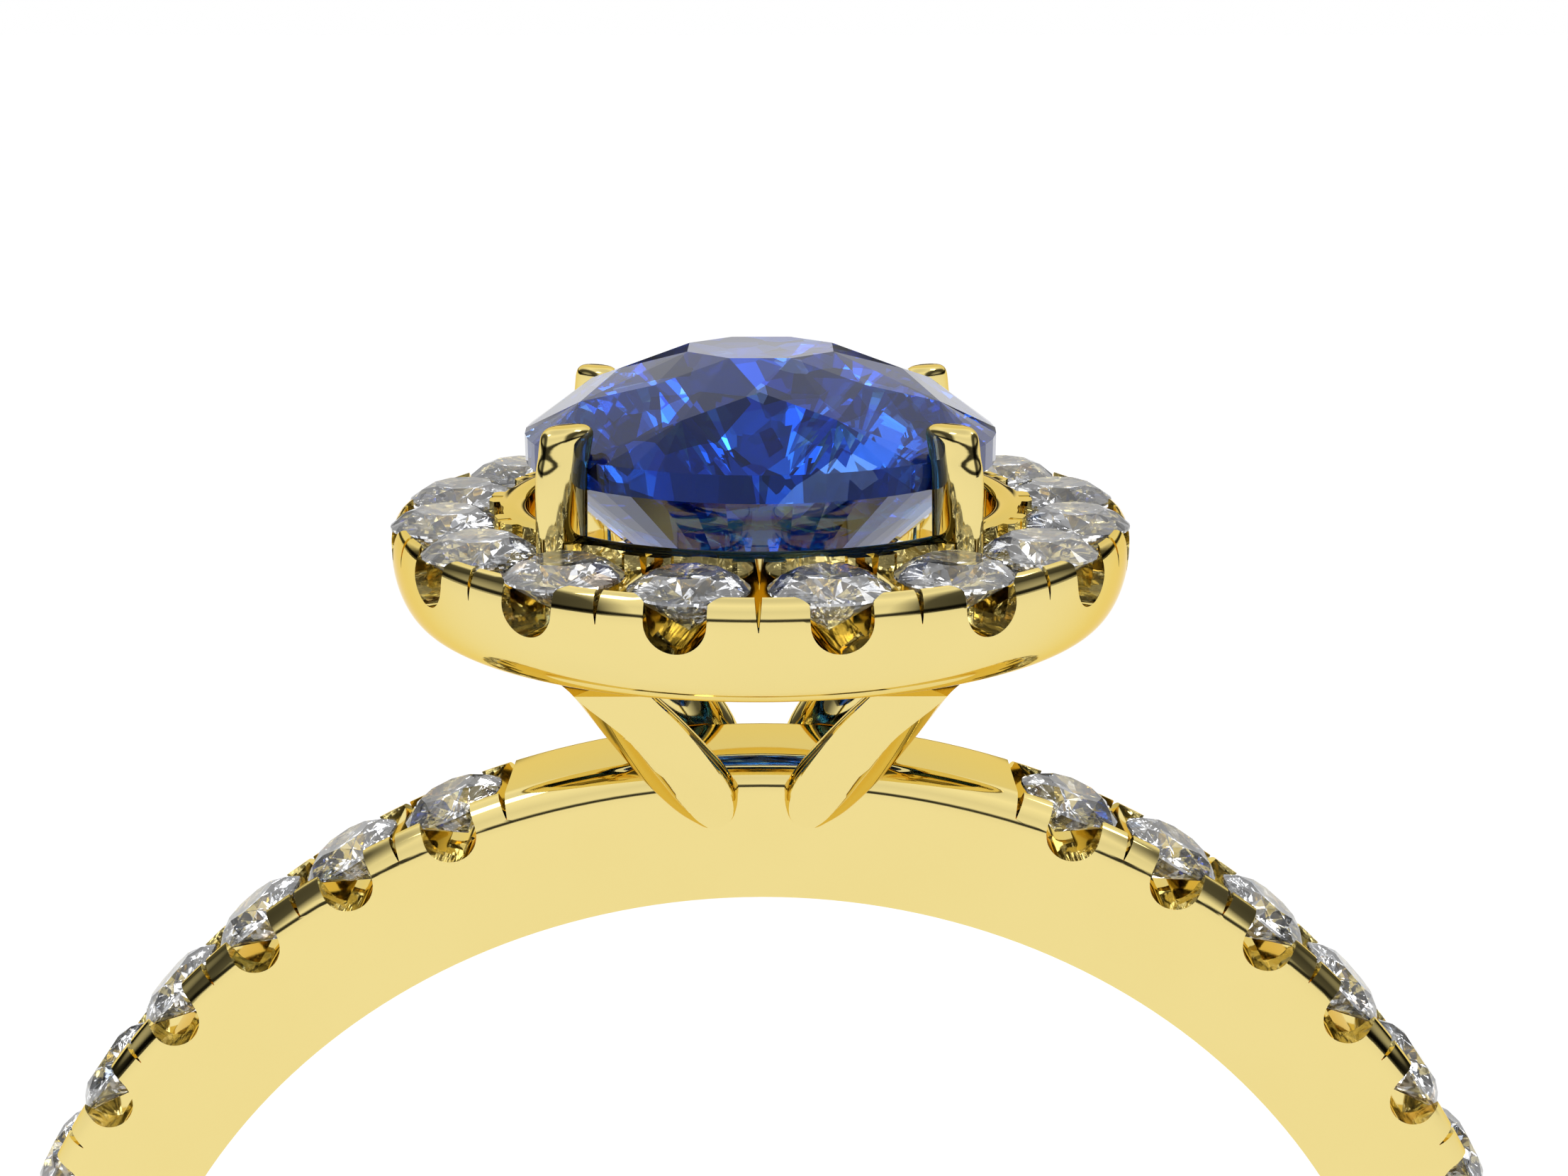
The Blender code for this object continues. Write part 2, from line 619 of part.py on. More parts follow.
def build_diamonds(parts, clear):
    """Every small diamond, sharing one mesh."""
    mesh = melee_mesh()
    mesh.materials.append(clear)
    for number, angle in enumerate(halo_stone_angles(), 1):
        stone = add_object(f"halo_diamond_{number:02d}", mesh, parts)
        stone.matrix_world = halo_matrix(angle, HALO_STONE_CIRCLE, HALO_GIRDLE_HEIGHT)
    for side, word in ((-1, "left"), (1, "right")):
        for number, angle in enumerate(shoulder_stone_angles(), 1):
            stone = add_object(f"shoulder_diamond_{word}_{number:02d}", mesh, parts)
            stone.matrix_world = shoulder_matrix(side * angle, SHOULDER_GIRDLE_RADIUS)


# ---------------------------------------------------------------- the ring

def main():
    """Build the ring."""
    clear_scene()
    parts = make_collection("engagement_ring")
    cutters = make_collection("cutters")
    gold = make_material("yellow gold", (0.83, 0.68, 0.27), 0.06, 1.0)
    blue = make_material("sapphire", (0.004, 0.02, 0.22), 0.02, 0.0)
    clear = make_material("diamond", (0.92, 0.93, 0.95), 0.02, 0.0)
    build_shank(parts, cutters, gold)
    build_halo(parts, cutters, gold)
    build_prongs(parts, cutters, gold)
    build_sapphire(parts, blue)
    build_diamonds(parts, clear)


main()
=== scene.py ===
import math

import bpy
from bpy.props import FloatProperty, FloatVectorProperty, IntProperty, PointerProperty
from mathutils import Matrix, Vector


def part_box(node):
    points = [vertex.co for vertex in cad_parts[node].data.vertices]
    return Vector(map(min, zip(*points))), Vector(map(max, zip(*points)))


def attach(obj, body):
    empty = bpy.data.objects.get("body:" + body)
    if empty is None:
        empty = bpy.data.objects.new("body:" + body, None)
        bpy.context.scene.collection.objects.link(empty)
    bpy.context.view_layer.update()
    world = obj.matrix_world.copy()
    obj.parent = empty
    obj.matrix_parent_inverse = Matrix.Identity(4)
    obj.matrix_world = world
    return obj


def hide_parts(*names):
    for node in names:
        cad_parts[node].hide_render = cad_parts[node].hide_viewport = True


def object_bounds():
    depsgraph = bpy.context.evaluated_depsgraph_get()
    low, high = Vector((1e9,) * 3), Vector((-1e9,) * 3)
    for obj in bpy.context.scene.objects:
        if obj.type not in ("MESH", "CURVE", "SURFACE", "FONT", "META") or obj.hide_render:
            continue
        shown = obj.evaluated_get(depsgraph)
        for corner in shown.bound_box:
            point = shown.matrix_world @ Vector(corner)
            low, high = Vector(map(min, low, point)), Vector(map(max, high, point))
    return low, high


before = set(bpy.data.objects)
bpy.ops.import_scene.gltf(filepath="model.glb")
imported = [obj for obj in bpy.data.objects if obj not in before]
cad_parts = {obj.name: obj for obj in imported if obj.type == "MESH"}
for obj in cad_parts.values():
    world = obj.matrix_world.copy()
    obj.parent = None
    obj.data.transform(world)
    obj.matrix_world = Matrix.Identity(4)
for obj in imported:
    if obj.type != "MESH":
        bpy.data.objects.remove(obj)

bl_info = {
    "name": "Halo Engagement Ring",
    "version": (1, 0, 0),
    "blender": (4, 5, 0),
    "location": "View3D > Sidebar > Ring",
    "description": "Models and finishes a halo engagement ring round its packed frame",
    "category": "Add Mesh",
}

CAD_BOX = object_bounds()
BODY = "root"
MM = 0.001
QUARTERS = {"front_left": (-1, -1), "front_right": (1, -1), "back_left": (-1, 1), "back_right": (1, 1)}

# sizes that part.py and the looks share, in millimetres
GIRDLE_DROP = 0.08
BAND_OVERHANG = 0.10
DIAMOND_SPACING = 0.162
BAND_CULET_ROOM = 0.025
HALO_CULET_ROOM = 0.085
BAND_SPLIT_DEPTH = 0.26
HALO_SPLIT_DEPTH = 0.37
HALO_SPLIT_SLOPE = 0.205
RAIL_ABOVE_WALL = 0.035
RAIL_FOOT = 0.47
HALO_UNDERSIDE = 0.25
PRONG_OUT = 0.28
PRONG_RADIAL_HALF = 0.33
PRONG_ACROSS_HALF = 0.20
CLAW_LEAN = 0.07
KNEE_DROP = 0.70
LEG_PROUD = 0.25

# most other counts from 216 to 256 left open edges where the cuts meet the facets
BAND_STEPS = 246

SAPPHIRE_INDEX, SAPPHIRE_CLEARNESS = 1.77, 0.88
DIAMOND_INDEX, DIAMOND_CLEARNESS = 2.42, 0.90


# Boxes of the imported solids, which the defaults come from
SHANK_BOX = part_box("shank")
HALO_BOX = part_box("halo")
SAPPHIRE_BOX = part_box("centre_sapphire")
PRONG_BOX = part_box("prong_front_left")
DIAMOND_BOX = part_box("halo_diamond_01")


# ---------------------------------------------------------------- properties

def length(name, description, metres):
    """A size in metres."""
    return FloatProperty(name=name, description=description, default=metres, unit="LENGTH", precision=5)


def amount(name, description, value):
    """A plain number."""
    return FloatProperty(name=name, description=description, default=value, precision=3)


def colour(name, description, value):
    """A colour."""
    return FloatVectorProperty(name=name, description=description, default=value, subtype="COLOR",
                               size=3, min=0.0, max=1.0)


class BandSizes(bpy.types.PropertyGroup):
    """Sizes of the finger band."""

    radius: length("Outer radius", "Crest of the band", SHANK_BOX[1][0])
    half_width: length("Half width", "Half of the band's width along the bore", SHANK_BOX[1][1])
    bore_radius: length("Bore radius", "Inside of the band", 8.34 * MM)
    shoulder_height: length("Shoulder height", "Rounded edge, measured radially", 0.45 * MM)
    shoulder_width: length("Shoulder width", "Rounded edge, measured along the bore", 0.30 * MM)
    plain_top: FloatProperty(name="Plain top", description="From the top to the first split",
                             default=math.radians(18.06), subtype="ANGLE")
    stones: IntProperty(name="Stones", description="Small diamonds on each side", default=9)
    steps: IntProperty(name="Steps", description="Steps round the band", default=BAND_STEPS, max=256)


class HaloSizes(bpy.types.PropertyGroup):
    """Sizes of the halo round the centre stone."""

    radius: length("Outer radius", "Widest part of the outer wall", HALO_BOX[1][0])
    bottom: length("Bottom edge", "Height of the bottom edge", HALO_BOX[0][2])
    top: length("Rail top", "Height of the smooth inner rail", HALO_BOX[1][2])
    height: length("Wall height", "Bottom edge up to the outer wall's top", 1.185 * MM)
    tuck: length("Tuck", "How far the outside curves in at the bottom", 0.445 * MM)
    overhang: length("Overhang", "Rim of a diamond over each wall", 0.14 * MM)
    inner_wall: length("Inner wall", "Thickness of the split inner wall", 0.14 * MM)
    rail: length("Rail width", "Smooth rail inside the inner wall", 0.30 * MM)
    steps: IntProperty(name="Steps", description="Steps round the halo", default=250, max=256)


class StoneSizes(bpy.types.PropertyGroup):
    """Sizes of the stones."""

    sapphire_radius: length("Sapphire radius", "Half of its girdle's diameter", SAPPHIRE_BOX[1][0])
    sapphire_girdle: length("Sapphire girdle", "Height of its girdle band", 0.31 * MM)
    sapphire_crown: length("Sapphire crown", "Girdle to table", 0.95 * MM)
    sapphire_tier: length("Sapphire tier", "Girdle to the ring of facets below the table", 0.70 * MM)
    diamond_radius: length("Diamond radius", "Half of a small diamond's diameter", 0.64 * MM)
    diamond_crown: length("Diamond crown", "Girdle to table", 0.18 * MM)
    diamond_girdle: length("Diamond girdle", "Height of its girdle band", 0.03 * MM)
    diamond_pavilion: length("Diamond pavilion", "Girdle to culet", 0.42 * MM)


class SettingSizes(bpy.types.PropertyGroup):
    """Sizes of the pave cuts and the fits."""

    clearance: length("Clearance", "Gap round a piece that is let in", 0.02 * MM)
    overcut: length("Overcut", "How far a cutter runs past the metal", 0.30 * MM)
    cut_width: length("Cut width", "Round-bottomed cut under a diamond", 0.66 * MM)
    split_width: length("Split width", "Narrow cut between two diamonds", 0.08 * MM)
    channel_rise: length("Channel rise", "Channel floor above the culets", 0.05 * MM)


class Finish(bpy.types.PropertyGroup):
    """Colours of the metal and the stones, with painted light and shade in the stones' shards."""

    gold: colour("Gold", "Polished yellow gold", (0.840, 0.695, 0.285))
    gold_deep: colour("Deep gold", "Gold where the polish is thinner", (0.820, 0.670, 0.260))
    # the sapphire's blue, painted in bright and deep shards that stand in for the light and shade in its
    # facets, with rare painted pale glints
    sapphire: colour("Sapphire", "Bright shards of the centre stone", (0.020, 0.145, 0.92))
    sapphire_deep: colour("Deep sapphire", "Deep shards of the centre stone", (0.003, 0.040, 0.50))
    sapphire_glint: colour("Sapphire glint", "Rare pale shards of the centre stone", (0.34, 0.52, 1.0))
    # the diamonds' painted light and shade: white shards of painted light and grey shards of painted shade
    diamond: colour("Diamond", "Clear shards of the small stones", (0.99, 0.995, 1.0))
    diamond_painted_shade: colour("Diamond shade", "Grey shards of the small stones", (0.72, 0.74, 0.78))


class Studio(bpy.types.PropertyGroup):
    """Floor, lights and camera."""

    eye: FloatVectorProperty(name="Camera place", description="Where the camera stands",
                             default=(0.000159, -0.025265, 0.018638), size=3, unit="LENGTH")
    pitch: FloatProperty(name="Pitch", description="How far the camera looks down",
                         default=math.radians(14.796), subtype="ANGLE")
    turn: FloatProperty(name="Turn", description="How far the camera turns to its left",
                        default=math.radians(-0.26), subtype="ANGLE")
    lens: FloatProperty(name="Lens", description="Focal length in millimetres", default=50.0)
    floor_size: length("Floor size", "Width of the floor", 6.0)
    floor_glow: amount("Floor glow", "White light given off by the floor", 0.56)
    sky: amount("Sky", "Brightness of the white studio", 1.0)
    sparkle: amount("Sparkle", "Brightness of the broken light seen through the stones", 4.0)


# ---------------------------------------------------------------- small helpers

def deselect():
    """Leave edit mode and select nothing."""
    if bpy.context.object and bpy.context.object.mode != "OBJECT":
        bpy.ops.object.mode_set(mode="OBJECT")
    bpy.ops.object.select_all(action="DESELECT")


def only(item):
    """Make one object the selected and active one."""
    deselect()
    item.select_set(True)
    bpy.context.view_layer.objects.active = item


def freeze(item):
    """Move an object's place into its mesh."""
    only(item)
    bpy.ops.object.transform_apply(location=True, rotation=True, scale=True)


def tidy_normals(item):
    """Merge doubled corners and point every face outwards."""
    only(item)
    bpy.ops.object.mode_set(mode="EDIT")
    bpy.ops.mesh.select_all(action="SELECT")
    bpy.ops.mesh.remove_doubles(threshold=1e-8)
    bpy.ops.mesh.normals_make_consistent(inside=False)
    bpy.ops.object.mode_set(mode="OBJECT")


def subdivide_along(item, axis, cuts):
    """Cut a primitive of unit length into slices along one axis."""
    only(item)
    bpy.ops.object.mode_set(mode="EDIT")
    bpy.ops.mesh.select_mode(type="EDGE")
    bpy.ops.mesh.select_all(action="DESELECT")
    bpy.ops.object.mode_set(mode="OBJECT")
    for edge in item.data.edges:
        first, second = (item.data.vertices[index].co for index in edge.vertices)
        edge.select = abs(first[axis] - second[axis]) > 0.5
    bpy.ops.object.mode_set(mode="EDIT")
    bpy.ops.mesh.subdivide(number_cuts=cuts)
    bpy.ops.mesh.select_mode(type="VERT")
    bpy.ops.object.mode_set(mode="OBJECT")


def place(item, matrix):
    """Put a copy where a matrix says, with its place in its mesh."""
    item.data.transform(matrix)


def copy_of(item, name):
    """A copy with its own mesh."""
    only(item)
    bpy.ops.object.duplicate()
    twin = bpy.context.object
    twin.name = name
    return twin


def join(items, name):
    """Join objects into one."""
    deselect()
    for item in items:
        item.select_set(True)
    bpy.context.view_layer.objects.active = items[0]
    bpy.ops.object.join()
    joined = bpy.context.object
    joined.name = name
    return joined


def discard(*items):
    """Delete objects that have done their work."""
    deselect()
    for item in items:
        item.select_set(True)
    bpy.ops.object.delete()


def cut(item, cutter):
    """Take a cutter's shape out of an object for good, and throw the cutter away."""
    only(item)
    boolean = item.modifiers.new("cut", "BOOLEAN")
    boolean.operation = "DIFFERENCE"
    boolean.solver = "EXACT"
    boolean.object = cutter
    bpy.ops.object.modifier_apply(modifier=boolean.name)
    discard(cutter)


def shade(item, angle=30.0):
    """Smooth shading with hard edges where the surface turns sharply."""
    only(item)
    bpy.ops.object.shade_smooth_by_angle(angle=math.radians(angle))


def arc(centre, half_width, half_height, start, end, steps):
    """Points along an elliptical arc, angles in degrees."""
    points = []
    for step in range(steps + 1):
        angle = math.radians(start + (end - start) * step / steps)
        points.append((centre[0] + half_width * math.cos(angle), centre[1] + half_height * math.sin(angle)))
    return points


def ring_from_outline(name, outline, steps, along_bore=False):
    """A torus whose section is reshaped to an outline of (radius, height) points."""
    deselect()
    bpy.ops.mesh.primitive_torus_add(major_segments=steps, minor_segments=len(outline),
                                     major_radius=10 * MM, minor_radius=MM)
    ring = bpy.context.object
    ring.name = name
    for vertex in ring.data.vertices:
        step, index = divmod(vertex.index, len(outline))
        angle = step * math.tau / steps
        radius, height = outline[index]
        across, up = radius * math.sin(angle), radius * math.cos(angle)
        vertex.co = (across, height, up) if along_bore else (across, up, height)
    tidy_normals(ring)
    return ring


def finish_piece(item, material, slot, *nodes):
    """Give a piece its material, hang it under the root body's empty and hide the imported nodes it stands for.
    """
    item.data.materials.clear()
    item.data.materials.append(material)
    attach(item, BODY)
    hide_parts(*nodes)


# ---------------------------------------------------------------- materials

def new_group(name, inputs, outputs):
    """An empty node group with named sockets."""
    group = bpy.data.node_groups.new(name, "ShaderNodeTree")
    for label, kind, value in inputs:
        socket = group.interface.new_socket(name=label, in_out="INPUT", socket_type=kind)
        if value is not None:
            socket.default_value = value
    for label, kind in outputs:
        group.interface.new_socket(name=label, in_out="OUTPUT", socket_type=kind)
    return group, group.nodes.new("NodeGroupInput"), group.nodes.new("NodeGroupOutput")


def polish_group():
    """Fine wheel marks and hazy patches of a hand-polished surface."""
    if "Polish" in bpy.data.node_groups:
        return bpy.data.node_groups["Polish"]
    group, source, result = new_group(
        "Polish",
        [("Vector", "NodeSocketVector", None), ("Patch Scale", "NodeSocketFloat", 900.0),
         ("Line Scale", "NodeSocketFloat", 5000.0), ("Smooth", "NodeSocketFloat", 0.03),
         ("Hazy", "NodeSocketFloat", 0.08)],
        [("Patches", "NodeSocketFloat"), ("Roughness", "NodeSocketFloat"), ("Height", "NodeSocketFloat")])
    patches = group.nodes.new("ShaderNodeTexNoise")
    patches.inputs["Detail"].default_value = 3.0
    lines = group.nodes.new("ShaderNodeTexNoise")
    lines.inputs["Detail"].default_value = 1.0
    stretch = group.nodes.new("ShaderNodeMapping")
    stretch.inputs["Scale"].default_value = (1.0, 0.08, 1.0)
    spread = group.nodes.new("ShaderNodeMapRange")
    spread.inputs["From Min"].default_value = 0.35
    spread.inputs["From Max"].default_value = 0.75
    link = group.links.new
    link(source.outputs["Vector"], patches.inputs["Vector"])
    link(source.outputs["Patch Scale"], patches.inputs["Scale"])
    link(source.outputs["Vector"], stretch.inputs["Vector"])
    link(stretch.outputs["Vector"], lines.inputs["Vector"])
    link(source.outputs["Line Scale"], lines.inputs["Scale"])
    link(patches.outputs["Fac"], spread.inputs["Value"])
    link(source.outputs["Smooth"], spread.inputs["To Min"])
    link(source.outputs["Hazy"], spread.inputs["To Max"])
    link(patches.outputs["Fac"], result.inputs["Patches"])
    link(spread.outputs["Result"], result.inputs["Roughness"])
    link(lines.outputs["Fac"], result.inputs["Height"])
    return group


def base_material(name, patch_scale, line_scale, smooth, hazy, first, second):
    """A Principled material whose colour and roughness follow the polish."""
    material = bpy.data.materials.new(name)
    material.use_nodes = True
    tree = material.node_tree
    shader = tree.nodes["Principled BSDF"]
    where = tree.nodes.new("ShaderNodeTexCoord")
    polish = tree.nodes.new("ShaderNodeGroup")
    polish.node_tree = polish_group()
    for label, value in (("Patch Scale", patch_scale), ("Line Scale", line_scale),
                         ("Smooth", smooth), ("Hazy", hazy)):
        polish.inputs[label].default_value = value
    mix = tree.nodes.new("ShaderNodeMix")
    mix.data_type = "RGBA"
    mix.inputs[6].default_value = (*first, 1.0)
    mix.inputs[7].default_value = (*second, 1.0)
    tree.links.new(where.outputs["Object"], polish.inputs["Vector"])
    tree.links.new(polish.outputs["Patches"], mix.inputs[0])
    tree.links.new(mix.outputs[2], shader.inputs["Base Color"])
    tree.links.new(polish.outputs["Roughness"], shader.inputs["Roughness"])
    return material, shader, polish


def gold_material():
    """Mirror-polished yellow gold with faint wheel marks."""
    if "polished_gold" in bpy.data.materials:
        return bpy.data.materials["polished_gold"]
    finish = bpy.context.scene.ring_finish
    material, shader, polish = base_material("polished_gold", 700.0, 9000.0, 0.035, 0.075,
                                             finish.gold, finish.gold_deep)
    bump = material.node_tree.nodes.new("ShaderNodeBump")
    bump.inputs["Strength"].default_value = 0.02
    bump.inputs["Distance"].default_value = 0.002 * MM
    material.node_tree.links.new(polish.outputs["Height"], bump.inputs["Height"])
    material.node_tree.links.new(bump.outputs["Normal"], shader.inputs["Normal"])
    shader.inputs["Metallic"].default_value = 1.0
    shader.inputs["Specular Tint"].default_value = (0.90, 0.74, 0.38, 1.0)
    return material


def shards_group():
    """Straight-edged shards of even brightness, large ones broken by small ones, for the painted light and
    shade in the stones.
    """
    if "Shards" in bpy.data.node_groups:
        return bpy.data.node_groups["Shards"]
    group, source, result = new_group(
        "Shards",
        [("Vector", "NodeSocketVector", None), ("Large Scale", "NodeSocketFloat", 1200.0),
         ("Small Scale", "NodeSocketFloat", 2600.0), ("Small Share", "NodeSocketFloat", 0.45)],
        [("Shade", "NodeSocketFloat")])
    link = group.links.new
    shades = []
    for scale in ("Large Scale", "Small Scale"):
        cells = group.nodes.new("ShaderNodeTexVoronoi")
        channels = group.nodes.new("ShaderNodeSeparateColor")
        link(source.outputs["Vector"], cells.inputs["Vector"])
        link(source.outputs[scale], cells.inputs["Scale"])
        link(cells.outputs["Color"], channels.inputs["Color"])
        shades.append(channels)
    broken = group.nodes.new("ShaderNodeMath")
    broken.operation = "LESS_THAN"
    choose = group.nodes.new("ShaderNodeMix")
    link(shades[0].outputs["Green"], broken.inputs[0])
    link(source.outputs["Small Share"], broken.inputs[1])
    link(broken.outputs["Value"], choose.inputs["Factor"])
    link(shades[0].outputs["Red"], choose.inputs["A"])
    link(shades[1].outputs["Red"], choose.inputs["B"])
    link(choose.outputs["Result"], result.inputs["Shade"])
    return group


def faded(tint, share):
    """A colour at a share of its brightness."""
    return tuple(channel * share for channel in tint)


def stone_material(name, index, clearness, levels, shine, large_scale, small_scale):
    """A clear faceted stone; its play of light is partly painted, in shards of (position, colour)."""
    if name in bpy.data.materials:
        return bpy.data.materials[name]
    material, shader, _ = base_material(name, 400.0, 4000.0, 0.0, 0.006, levels[0][1], levels[-1][1])
    tree = material.node_tree
    where = tree.nodes["Texture Coordinate"]
    shards = tree.nodes.new("ShaderNodeGroup")
    shards.node_tree = shards_group()
    shards.inputs["Large Scale"].default_value = large_scale
    shards.inputs["Small Scale"].default_value = small_scale
    shards.inputs["Small Share"].default_value = 0.45
    ramp = tree.nodes.new("ShaderNodeValToRGB")
    ramp.color_ramp.interpolation = "CONSTANT"
    for position, _ in levels[1:-1]:
        ramp.color_ramp.elements.new(position)
    ramp.color_ramp.elements[-1].position = levels[-1][0]
    for element, (position, tint) in zip(ramp.color_ramp.elements, levels):
        element.position = position
        element.color = (*tint, 1.0)
    tree.links.new(where.outputs["Object"], shards.inputs["Vector"])
    tree.links.new(shards.outputs["Shade"], ramp.inputs["Fac"])
    tree.links.new(ramp.outputs["Color"], shader.inputs["Base Color"])
    shader.inputs["Metallic"].default_value = 0.0
    shader.inputs["Transmission Weight"].default_value = clearness
    shader.inputs["IOR"].default_value = index
    shader.inputs["Specular Tint"].default_value = (*shine, 1.0)
    return material


def sapphire_levels():
    """Painted light and shade over the centre stone's blue, in shards from black shade to pale painted glints.
    """
    finish = bpy.context.scene.ring_finish
    body, deep, glint = finish.sapphire, finish.sapphire_deep, finish.sapphire_glint
    return [(0.0, faded(deep, 0.03)), (0.24, faded(deep, 0.35)), (0.42, deep), (0.62, faded(body, 0.7)),
            (0.78, body), (0.93, tuple(glint))]


def diamond_levels():
    """Painted light and shade in the small stones' shards: greys, a few dark ones and rare coloured painted
    glints.
    """
    finish = bpy.context.scene.ring_finish
    body, painted_shade_tint = finish.diamond, finish.diamond_painted_shade
    # grey and dark shards are painted shade, white shards painted light, the blue and orange ones painted
    # glints of split light
    return [(0.0, faded(painted_shade_tint, 0.20)), (0.08, faded(painted_shade_tint, 0.6)), (0.20, tuple(painted_shade_tint)),
            (0.36, tuple(body)), (0.955, (0.55, 0.70, 1.0)), (0.975, (1.0, 0.72, 0.45)), (0.988, tuple(body))]


# ---------------------------------------------------------------- places of the stones

def band_place(angle, height):
    """Frame on the band: angle from the top towards +X, height above the bore's centre."""
    return Matrix.Rotation(angle, 4, "Y") @ Matrix.Translation((0, 0, height))


def halo_place(angle, radius, height):
    """Frame on the halo, its X axis pointing outwards; the angle starts at the front."""
    return Matrix.Rotation(angle - math.pi / 2, 4, "Z") @ Matrix.Translation((radius, 0, height))


def box_middle(node):
    """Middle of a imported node's box."""
    low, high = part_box(node)
    return (Vector(low) + Vector(high)) / 2


def nodes_like(prefix):
    """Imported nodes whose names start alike, in order."""
    return sorted(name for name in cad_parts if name.startswith(prefix))


def halo_stones():
    """Each halo diamond's node and angle round the halo."""
    return [(node, math.atan2(box_middle(node).y, box_middle(node).x) + math.pi / 2)
            for node in nodes_like("halo_diamond_")]


def band_stones():
    """Each band diamond's node and angle from the band's top."""
    return [(node, math.atan2(box_middle(node).x, box_middle(node).z))
            for node in nodes_like("shoulder_diamond_")]


def girdle_radius():
    """Distance of the band diamonds' girdles from the bore's centre."""
    return bpy.context.scene.ring_band.radius - GIRDLE_DROP * MM


def halo_girdle():
    """Height of the halo diamonds' girdles."""
    stones = bpy.context.scene.ring_stones
    return DIAMOND_BOX[1][2] - stones.diamond_crown - stones.diamond_girdle / 2


def stone_circle():
    """Radius of the circle on which the halo's diamonds sit."""
    middle = box_middle("halo_diamond_01")
    return math.hypot(middle.x, middle.y)


def culet_depth():
    """Culet of a small diamond below its girdle's middle."""
    stones = bpy.context.scene.ring_stones
    return stones.diamond_girdle / 2 + stones.diamond_pavilion


# ---------------------------------------------------------------- cutters

def round_cutter(run, floor, name):
    """Round-bottomed slot along X, opened upwards, its floor below the girdle."""
    sizes = bpy.context.scene.ring_setting
    radius = sizes.cut_width / 2
    deselect()
    bpy.ops.mesh.primitive_cylinder_add(vertices=48, radius=radius, depth=run, rotation=(0, math.pi / 2, 0))
    slot = bpy.context.object
    slot.name = name
    freeze(slot)
    place(slot, Matrix.Translation((0, 0, radius - floor)))
    middle = radius - floor
    for vertex in slot.data.vertices:
        if vertex.co.z > middle + radius * 0.01:
            vertex.co.z += sizes.overcut * 2 + floor
    return slot


def split_cutter(run, depth, rise, name):
    """Narrow wedge along X, its tip rising towards -X."""
    sizes = bpy.context.scene.ring_setting
    deselect()
    bpy.ops.mesh.primitive_cube_add(size=1.0)
    wedge = bpy.context.object
    wedge.name = name
    mouth = sizes.split_width / 2 * (depth + sizes.overcut) / depth
    for vertex in wedge.data.vertices:
        x, y, z = vertex.co
        if z > 0:
            vertex.co = (x * run, math.copysign(mouth, y), sizes.overcut)
        else:
            vertex.co = (x * run, math.copysign(mouth * 0.06, y), -depth + (rise if x < 0 else 0.0))
    return wedge


def seat_cutter(name):
    """Room for a small diamond: its pavilion, its girdle and the open space above."""
    sizes = bpy.context.scene.ring_setting
    stones = bpy.context.scene.ring_stones
    radius = stones.diamond_radius + sizes.clearance
    low = -stones.diamond_girdle / 2 - sizes.clearance
    narrow = radius * 0.4
    depth = stones.diamond_pavilion * (radius - narrow) / stones.diamond_radius
    deselect()
    bpy.ops.mesh.primitive_cone_add(vertices=48, radius1=narrow, radius2=radius, depth=depth,
                                    location=(0, 0, low - depth / 2))
    seat = bpy.context.object
    seat.name = name
    freeze(seat)
    bpy.ops.object.mode_set(mode="EDIT")
    bpy.ops.mesh.select_all(action="DESELECT")
    bpy.ops.object.mode_set(mode="OBJECT")
    for face in seat.data.polygons:
        face.select = face.normal.z > 0.9
    bpy.ops.object.mode_set(mode="EDIT")
    bpy.ops.mesh.extrude_region_move(
        TRANSFORM_OT_translate={"value": (0, 0, stones.diamond_crown + sizes.overcut - low)})
    bpy.ops.object.mode_set(mode="OBJECT")
    return seat


def repeat(pattern, places, name):
    """Copies of a cutter at every place, joined, with the pattern thrown away."""
    copies = []
    for matrix in places:
        twin = copy_of(pattern, name)
        place(twin, matrix)
        copies.append(twin)
    discard(pattern)
    return join(copies, name)


# ---------------------------------------------------------------- band

def band_outline(grow=0.0):
    """Section of the band as (radius, place along the bore) points."""
    band = bpy.context.scene.ring_band
    shoulder_radius = band.radius - band.shoulder_height
    flat = band.half_width - band.shoulder_width
    shoulder = arc((shoulder_radius, flat), band.shoulder_height + grow, band.shoulder_width + grow, 90, 0, 14)
    mirrored = [(radius, -across) for radius, across in reversed(shoulder)]
    return [(band.bore_radius - grow, -band.half_width - grow),
            (band.bore_radius - grow, band.half_width + grow)] + shoulder + mirrored


def channel_cutter():
    """Both channels for the band's diamonds, as two stretches of one ring."""
    scene = bpy.context.scene
    sizes, band, stones = scene.ring_setting, scene.ring_band, scene.ring_stones
    half = stones.diamond_radius - BAND_OVERHANG * MM
    floor = girdle_radius() - culet_depth() + sizes.channel_rise
    pitch = (2 * stones.diamond_radius + DIAMOND_SPACING * MM) / girdle_radius()
    start, end = band.plain_top, band.plain_top + pitch * band.stones
    steps = band.stones * 6
    stretches = []
    for side in (-1, 1):
        deselect()
        bpy.ops.mesh.primitive_cube_add(size=1.0)
        stretch = bpy.context.object
        subdivide_along(stretch, 0, steps - 1)
        for vertex in stretch.data.vertices:
            angle = side * (start + (end - start) * (vertex.co.x + 0.5))
            radius = band.radius + sizes.overcut if vertex.co.z > 0 else floor
            vertex.co = (radius * math.sin(angle), math.copysign(half, vertex.co.y), radius * math.cos(angle))
        tidy_normals(stretch)
        stretches.append(stretch)
    return join(stretches, "channels")


def band_split_angles():
    """Angles of the narrow cuts on both sides of the band."""
    scene = bpy.context.scene
    pitch = (2 * scene.ring_stones.diamond_radius + DIAMOND_SPACING * MM) / girdle_radius()
    band = scene.ring_band
    return [side * (band.plain_top + pitch * number) for side in (-1, 1) for number in range(band.stones + 1)]


